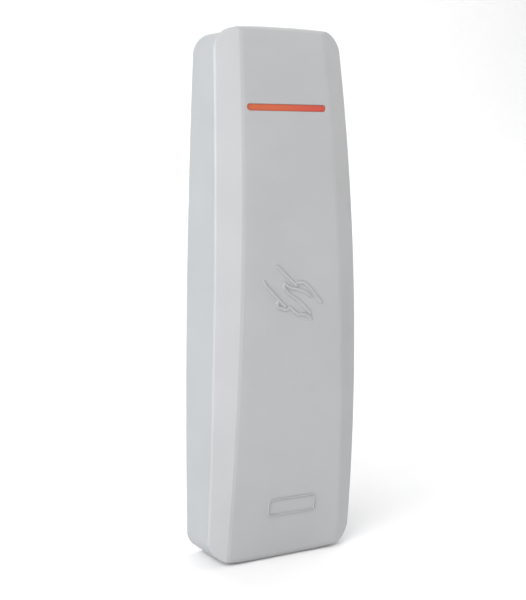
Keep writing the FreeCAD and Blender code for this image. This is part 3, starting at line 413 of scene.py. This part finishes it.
def dress_inside():
    """Materials for the CAD nodes inside the shells that keep their own mesh."""
    for node, (colour, roughness) in PLAIN_PLASTICS.items():
        give(node, moulded_plastic(node + "_plastic", colour, roughness, edge=0.1 * MM))
    for node, (colour, roughness) in METALS.items():
        give(node, metal(node + "_metal", colour, roughness))
    give("main_board", board_material())
    give("antenna_coil", coil_material())
    for node in CHIP_PACKAGES:
        low, high = (Vector(corner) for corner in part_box(node))
        give(node, package_material(node + "_resin", low, high, PIN_REACH))
    give("cable_grommet", rubber())
    give("buzzer", moulded_plastic("buzzer_plastic", (0.018, 0.018, 0.02), 0.38, edge=0.15 * MM))


def rubber():
    """Soft black rubber: dull, with a bloom of pale dust in patches."""
    shader = Shader("grommet_rubber")
    bloom = shader.noise(2.5 * MM, detail=4.0)
    grain = shader.noise(0.2 * MM, detail=3.0)
    shader.set(Base_Color=shader.ramp(bloom, [(0.4, (0.016, 0.016, 0.017)), (0.8, (0.050, 0.049, 0.047))]),
               Roughness=shader.span(grain, 0.3, 0.7, 0.62, 0.80))
    shader.bump(grain, 0.02 * MM, edge=0.15 * MM)
    return shader.material


CAP_SHARE = 0.22    # how much of a chip part's length each tinned end takes


def make_chip_parts():
    """Surface-mounted resistors and capacitors: a body between two tinned end caps."""
    tin = metal("solder_tin", (0.66, 0.66, 0.64), 0.30)
    for node, name, colour in (("chip_resistors", "smd_resistors", (0.022, 0.022, 0.024)),
                               ("chip_capacitors", "smd_capacitors", (0.33, 0.22, 0.13))):
        body = moulded_plastic(name + "_body", colour, 0.42, grain=0.08 * MM, edge=0.03 * MM)
        piece = Piece(name, body, tin)
        for low, high in loose_parts(node):
            size = high - low
            long_axis = 0 if size.x > size.z else 2
            cap = size[long_axis] * CAP_SHARE
            inset = Vector((0.02 * MM,) * 3)
            piece.block(low + inset, high - inset, 0.04 * MM, 0)
            for near in (True, False):
                a, b = low.copy(), high.copy()
                if near:
                    b[long_axis] = low[long_axis] + cap
                else:
                    a[long_axis] = high[long_axis] - cap
                piece.block(a, b, 0.06 * MM, 1)
        piece.done("base", node, slot="resistor_ceramic" if "resistor" in node else "capacitor_ceramic")


def make_led_packages():
    """Side-by-side light packages: a white cup, a clear lens set in it and tinned ends."""
    cup = moulded_plastic("led_package_white", (0.72, 0.72, 0.69), 0.35, grain=0.08 * MM, edge=0.04 * MM)
    lens = Shader("led_lens")
    depth = lens.noise(0.3 * MM)
    lens.set(Base_Color=lens.ramp(depth, [(0.3, (0.75, 0.25, 0.08)), (0.7, (0.85, 0.38, 0.12))]),
             Roughness=lens.span(depth, 0.3, 0.7, 0.10, 0.18), Emission_Strength=0.8,
             Emission_Color=(0.9, 0.22, 0.06, 1.0))
    tin = metal("led_tin", (0.66, 0.66, 0.64), 0.30)
    piece = Piece("light_packages", cup, lens.material, tin)
    cup_inset, terminal_share, lens_share, lens_sunk = 0.14, 0.2, 0.38, 0.05 * MM
    for low, high in loose_parts("status_leds"):
        size = high - low
        end = Vector((size.x * cup_inset, 0, 0))
        terminal = size.x * terminal_share
        piece.block(low + end, high - end, 0.05 * MM, 0)
        piece.block(low, (low.x + terminal, high.y, high.z), 0.03 * MM, 2)
        piece.block((high.x - terminal, low.y, low.z), high, 0.03 * MM, 2)
        centre = ((low.x + high.x) / 2, low.y + lens_sunk, (low.z + high.z) / 2)
        radius = size.z * lens_share
        dome = [(radius, 0.0), (radius * 0.98, 0.01 * MM), (radius * 0.7, 0.03 * MM), (0.0, 0.045 * MM)]
        piece.lathe(centre, dome, steps=24, material=1)
    piece.done("base", "status_leds", slot="led_package")


def make_cans():
    """Electrolytic capacitors: a rolled aluminium can with a crimp, a scored top whose score lines are
    painted shade, and a black base.
    """
    can = metal("can_aluminium", (0.70, 0.70, 0.69), 0.30, brush=0.5 * MM, stretch=(1, 6, 1))
    base = moulded_plastic("can_base", (0.02, 0.02, 0.02), 0.5, edge=0.08 * MM)
    # Near-black for the scored cross on the top: painted shade standing in for the shade in the score
    # grooves.
    score_shade = moulded_plastic("can_score_shade", (0.03, 0.03, 0.035), 0.4, edge=0.02 * MM)
    piece = Piece("capacitor_cans", can, base, score_shade)
    foot, rim, crimp, play, score = 0.9 * MM, 0.45 * MM, 0.28 * MM, 0.05 * MM, 0.07 * MM
    step = 0.1 * MM      # how far the scored top lies below the can's rolled rim
    for low, high in loose_parts("electrolytic_capacitors"):
        radius = min(high.x - low.x, high.z - low.z) / 2
        side = radius - play
        centre = Vector(((low.x + high.x) / 2, high.y, (low.z + high.z) / 2))
        height = high.y - low.y
        piece.block((low.x, high.y - foot, low.z), high, 0.25 * MM, 1)
        profile = [(0, foot - step), (side, foot - step), (side, foot + 0.7 * MM),
                   (radius - crimp, foot + 1.0 * MM), (radius - crimp, foot + 1.2 * MM),
                   (side, foot + 1.5 * MM), (side, height - rim), (radius - 0.2 * MM, height - step),
                   (radius - rim, height), (radius - rim - 0.1 * MM, height),
                   (radius - rim - 0.2 * MM, height - step), (0, height - step)]
        piece.lathe(centre, profile, steps=48, material=0)
        top = low.y + play
        reach = radius * 0.6
        # Painted shade: the scored cross is a thin near-black slab across the top, not a cut groove.
        for half_x, half_z in ((reach, score), (score, reach)):
            piece.block((centre.x - half_x, top, centre.z - half_z),
                        (centre.x + half_x, top + step, centre.z + half_z), 0, 2)
    piece.done("base", "electrolytic_capacitors", slot="can_aluminium")


def make_terminal_screws():
    """Clamp screws with domed, slotted heads, each turned a little differently."""
    steel = metal("terminal_steel", (0.62, 0.62, 0.60), 0.28)
    dark = metal("slot_shadow", (0.05, 0.05, 0.05), 0.6)
    piece = Piece("terminal_clamp_screws", steel, dark)
    random.seed(7)
    most_turned, slot_share, slot_half, proud = 0.6, 0.86, 0.16 * MM, 0.002 * MM
    for low, high in loose_parts("terminal_screws"):
        radius = min(high.x - low.x, high.z - low.z) / 2
        height = high.y - low.y
        centre = Vector(((low.x + high.x) / 2, high.y, (low.z + high.z) / 2))
        profile = [(0, 0), (radius * 0.9, 0), (radius * 0.9, height * 0.5), (radius, height * 0.55),
                   (radius, height * 0.85), (radius * 0.86, height * 0.96), (radius * 0.5, height),
                   (0, height)]
        piece.lathe(centre, profile, steps=32, material=0)
        angle = random.uniform(-most_turned, most_turned)
        along = Vector((math.cos(angle), 0, math.sin(angle))) * radius * slot_share
        across = Vector((-math.sin(angle), 0, math.cos(angle))) * slot_half
        front = Vector((centre.x, low.y - proud, centre.z))
        corners = [front + along + across, front - along + across, front - along - across,
                   front + along - across]
        face = piece.mesh.faces.new([piece.mesh.verts.new(corner) for corner in corners])
        face.material_index = 1
    piece.done("base", "terminal_screws", slot="bright_steel")


# ---- stage -------------------------------------------------------------------------------------------

CAMERA_PLACE = (-0.17064, -0.30754, 0.03979)
CAMERA_FORWARD = (0.49665, 0.86019, -0.11581)
CAMERA_LENS = 71.235
CAMERA_SHIFT = (-0.0189, -0.0096)


def make_floor():
    """A wide pale sweep: floor under the reader and a wall that curves up far behind it."""
    radius, width, depth, height, steps = 1.2, 12.0, 3.0, 6.0, 16
    profile = [(-depth * 2, 0.0), (depth, 0.0)]
    profile += [(depth + radius * math.sin(a), radius * (1 - math.cos(a)))
                for a in (math.pi / 2 * i / steps for i in range(1, steps + 1))]
    profile.append((depth + radius, height))
    vertices = [(side * width / 2, y, LOW_Z + z) for y, z in profile for side in (-1, 1)]
    faces = [(2 * i, 2 * i + 1, 2 * i + 3, 2 * i + 2) for i in range(len(profile) - 1)]
    mesh = bpy.data.meshes.new("sweep")
    mesh.from_pydata(vertices, [], faces)
    mesh.polygons.foreach_set("use_smooth", [True] * len(faces))
    sweep = bpy.data.objects.new("sweep", mesh)
    scene.collection.objects.link(sweep)
    shader = Shader("sweep_paper")
    fibre = shader.noise(0.02)
    shader.set(Base_Color=shader.ramp(fibre, [(0.3, (0.845, 0.845, 0.85)), (0.7, (0.86, 0.86, 0.865))]),
               Roughness=0.9)
    mesh.materials.append(shader.material)


def make_light(name, place, aim, size, power):
    """A rectangular lamp; size is its width and height in metres, power in watts."""
    data = bpy.data.lights.new(name, "AREA")
    data.shape = "RECTANGLE"
    data.size, data.size_y = size
    data.energy = power
    light = bpy.data.objects.new(name, data)
    light.location = place
    light.rotation_euler = (Vector(aim) - Vector(place)).to_track_quat("-Z", "Y").to_euler()
    scene.collection.objects.link(light)


SOFTBOX = (0.9, 0.9)
WORLD_STRENGTH = 0.35
STUDIO_LIGHTS = (    # name, degrees round from the front to the left, distance, height, watts
    ("key", 60, 0.9, 0.45, 13.9),
    ("side", 92, 0.8, 0.45, 1.2),
    ("camera_side", 22, 1.0, 0.55, 0.3),
    ("right_fill", -75, 1.0, 0.4, 4.4),
)


def make_lights():
    for name, around, distance, height, power in STUDIO_LIGHTS:
        angle = math.radians(around)
        place = (-math.sin(angle) * distance, -math.cos(angle) * distance, height)
        make_light(name, place, (0, 0, 0), SOFTBOX, power)
    make_light("backdrop", (2.2, 1.2, 3.0), (2.2, 4.0, 0.4), (5.0, 2.0), 120.0)
    make_light("far_floor", (1.0, 2.2, 2.4), (1.0, 1.9, LOW_Z), (3.0, 1.6), 16.0)
    world = bpy.data.worlds.new("studio")
    world.use_nodes = True
    background = world.node_tree.nodes["Background"]
    background.inputs["Color"].default_value = (1.0, 1.0, 1.0, 1.0)
    background.inputs["Strength"].default_value = WORLD_STRENGTH
    scene.world = world


def make_camera():
    data = bpy.data.cameras.new("camera")
    data.lens = CAMERA_LENS
    data.shift_x, data.shift_y = CAMERA_SHIFT
    data.clip_start, data.clip_end = 0.01, 50.0
    camera = bpy.data.objects.new("camera", data)
    camera.location = CAMERA_PLACE
    camera.rotation_euler = Vector(CAMERA_FORWARD).to_track_quat("-Z", "Y").to_euler()
    scene.collection.objects.link(camera)
    scene.camera = camera


dress_shells()
dress_light_guide()
dress_inside()
make_chip_parts()
make_led_packages()
make_cans()
make_terminal_screws()
make_floor()
make_lights()
make_camera()
